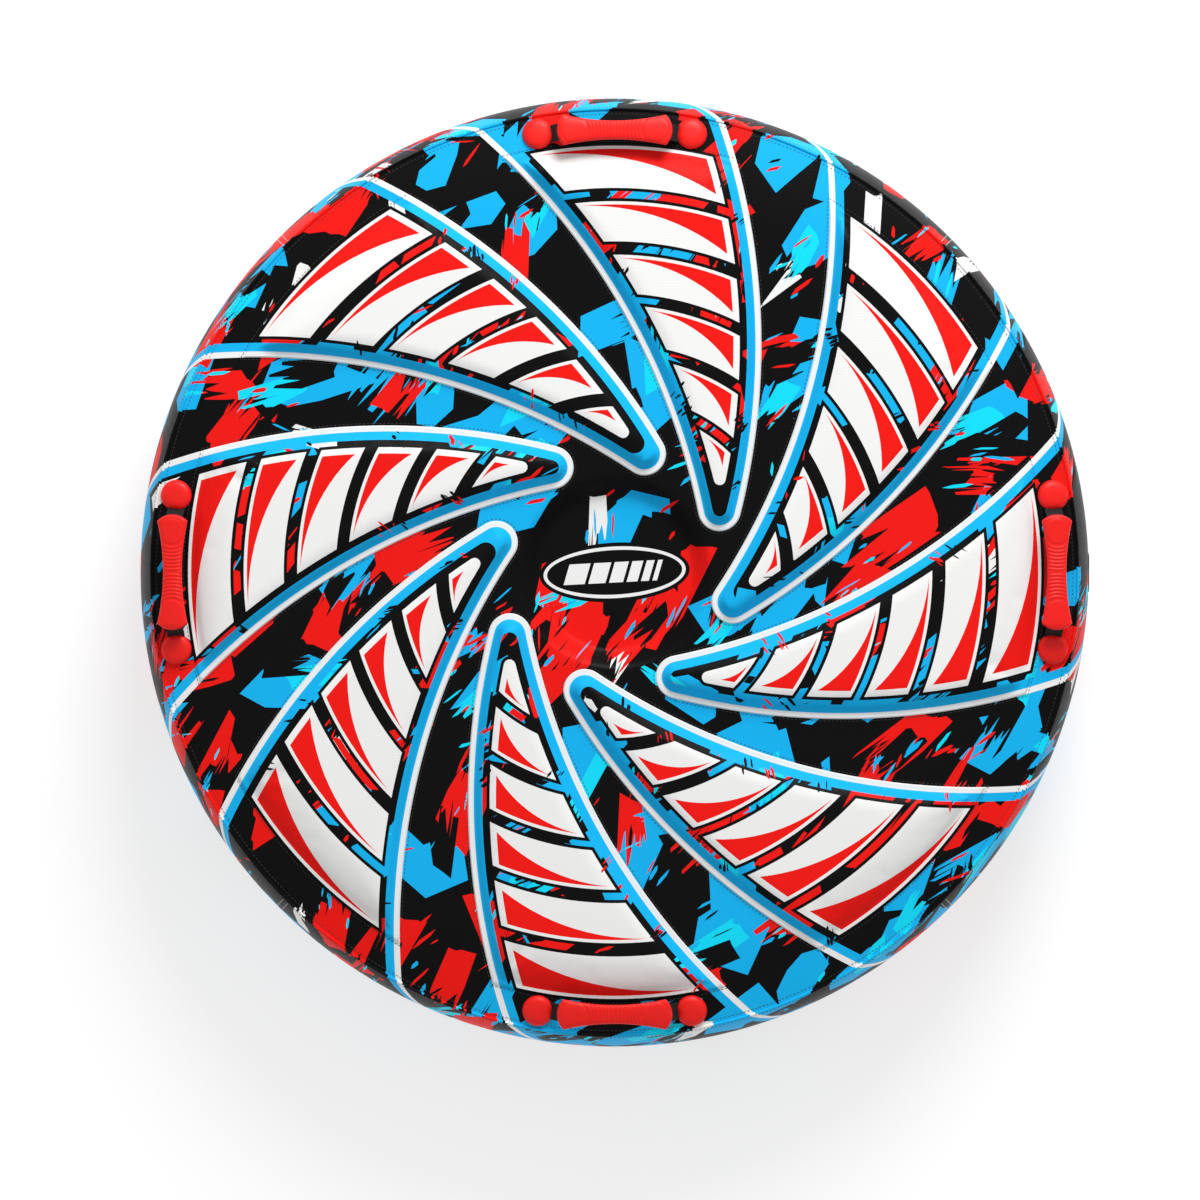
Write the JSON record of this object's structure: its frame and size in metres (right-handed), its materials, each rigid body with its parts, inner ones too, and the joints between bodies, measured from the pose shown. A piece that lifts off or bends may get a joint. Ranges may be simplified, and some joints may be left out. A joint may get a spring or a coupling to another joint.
{
  "type": "towable tube",
  "caption": "Round flat-deck inflatable towable tube with raised swirl pads, a sunken centre, tilting grab handles, valve, zip and a tow ring under the side.",
  "frame": {"origin": "middle of the flat base, on the surface that the tube rests on", "axes": "+Z out of the deck; +Y towards the tow ring; the zip is on the -Y side and the valve faces +X"},
  "size_m": [1.2179, 1.218, 0.2514],
  "materials": {
    "deck_print": "printed nylon cover, satin, fine weave, black with red, cyan and white brush patches",
    "pad_print": "printed nylon over foam, satin, fine weave, white panels with red wedges and white and cyan edges",
    "side_print": "printed nylon, satin sheen, fine weave",
    "base_fabric": "plain coated nylon, matte",
    "bladder_pvc": "smooth PVC film, satin",
    "piping": "corded piping, matte",
    "webbing": "ribbed polyester webbing, matte",
    "zip_tape": "woven zip tape, matte",
    "red_moulding": "soft moulded plastic, satin red",
    "black_moulding": "moulded plastic, satin black",
    "steel": "polished stainless steel"
  },
  "bodies": {
    "root": {"bladder": "bladder_pvc", "i_beam_1": "bladder_pvc", "i_beam_2": "bladder_pvc", "i_beam_3": "bladder_pvc", "i_beam_4": "bladder_pvc", "i_beam_5": "bladder_pvc", "i_beam_6": "bladder_pvc", "i_beam_7": "bladder_pvc", "i_beam_8": "bladder_pvc", "centre_tie": "bladder_pvc", "valve_flange": "bladder_pvc", "valve_body": "black_moulding", "top_cover": "deck_print", "blade_pad_1": "pad_print", "blade_pad_2": "pad_print", "blade_pad_3": "pad_print", "blade_pad_4": "pad_print", "blade_pad_5": "pad_print", "blade_pad_6": "pad_print", "blade_pad_7": "pad_print", "blade_pad_8": "pad_print", "side_gusset": "side_print", "base_cover": "base_fabric", "top_piping": "piping", "base_piping": "piping", "zip_tape": "zip_tape", "zip_coil": "black_moulding", "tow_patch": "webbing", "tow_webbing": "webbing", "handle_1_anchor_left": "red_moulding", "handle_1_anchor_right": "red_moulding", "handle_1_backing": "black_moulding", "handle_2_anchor_left": "red_moulding", "handle_2_anchor_right": "red_moulding", "handle_2_backing": "black_moulding", "handle_3_anchor_left": "red_moulding", "handle_3_anchor_right": "red_moulding", "handle_3_backing": "black_moulding", "handle_4_anchor_left": "red_moulding", "handle_4_anchor_right": "red_moulding", "handle_4_backing": "black_moulding", "drain_eyelet_1": "steel", "drain_eyelet_2": "steel"},
    "valve_cap": {"valve_cap": "red_moulding"},
    "valve_flap": {"valve_flap": "black_moulding"},
    "zip_slider": {"zip_slider": "steel"},
    "zip_pull": {"zip_pull": "steel"},
    "tow_ring": {"tow_ring": "steel"},
    "handle_1": {"handle_1_grip": "red_moulding", "handle_1_strap": "webbing"},
    "handle_2": {"handle_2_grip": "red_moulding", "handle_2_strap": "webbing"},
    "handle_3": {"handle_3_grip": "red_moulding", "handle_3_strap": "webbing"},
    "handle_4": {"handle_4_grip": "red_moulding", "handle_4_strap": "webbing"}
  },
  "joints": [
    {"name": "handle_1_tilt", "type": "hinge", "parent": "root", "child": "handle_1", "pos_m": [0, 0.55997, 0.22253], "axis": [-1, 0, 0], "range_deg": [-25, 45], "stiffness_Nm_per_rad": 0.2},
    {"name": "handle_2_tilt", "type": "hinge", "parent": "root", "child": "handle_2", "pos_m": [-0.55997, 0, 0.22253], "axis": [0, -1, 0], "range_deg": [-25, 45], "stiffness_Nm_per_rad": 0.2},
    {"name": "handle_3_tilt", "type": "hinge", "parent": "root", "child": "handle_3", "pos_m": [0, -0.55997, 0.22253], "axis": [1, 0, 0], "range_deg": [-25, 45], "stiffness_Nm_per_rad": 0.2},
    {"name": "handle_4_tilt", "type": "hinge", "parent": "root", "child": "handle_4", "pos_m": [0.55997, 0, 0.22253], "axis": [0, 1, 0], "range_deg": [-25, 45], "stiffness_Nm_per_rad": 0.2},
    {"name": "valve_cap_pull", "type": "slide", "parent": "root", "child": "valve_cap", "axis": [1, 0, 0], "range_m": [0, 0.025]},
    {"name": "valve_flap_swing", "type": "hinge", "parent": "root", "child": "valve_flap", "pos_m": [0.5868, 0, 0.14028], "axis": [0, 1, 0], "range_deg": [0, 50], "stiffness_Nm_per_rad": 0.02},
    {"name": "zip_run", "type": "hinge", "parent": "root", "child": "zip_slider", "pos_m": [0, 0, 0.06], "axis": [0, 0, 1], "range_deg": [0, 86]},
    {"name": "zip_pull_swing", "type": "hinge", "parent": "zip_slider", "child": "zip_pull", "pos_m": [-0.41743, -0.43987, 0.05857], "axis": [-0.7254, 0.6884, 0], "range_deg": [0, 120]},
    {"name": "tow_ring_swing", "type": "hinge", "parent": "root", "child": "tow_ring", "pos_m": [0, 0.60236, 0.05287], "axis": [1, 0, 0], "range_deg": [-15, 140]}
  ]
}
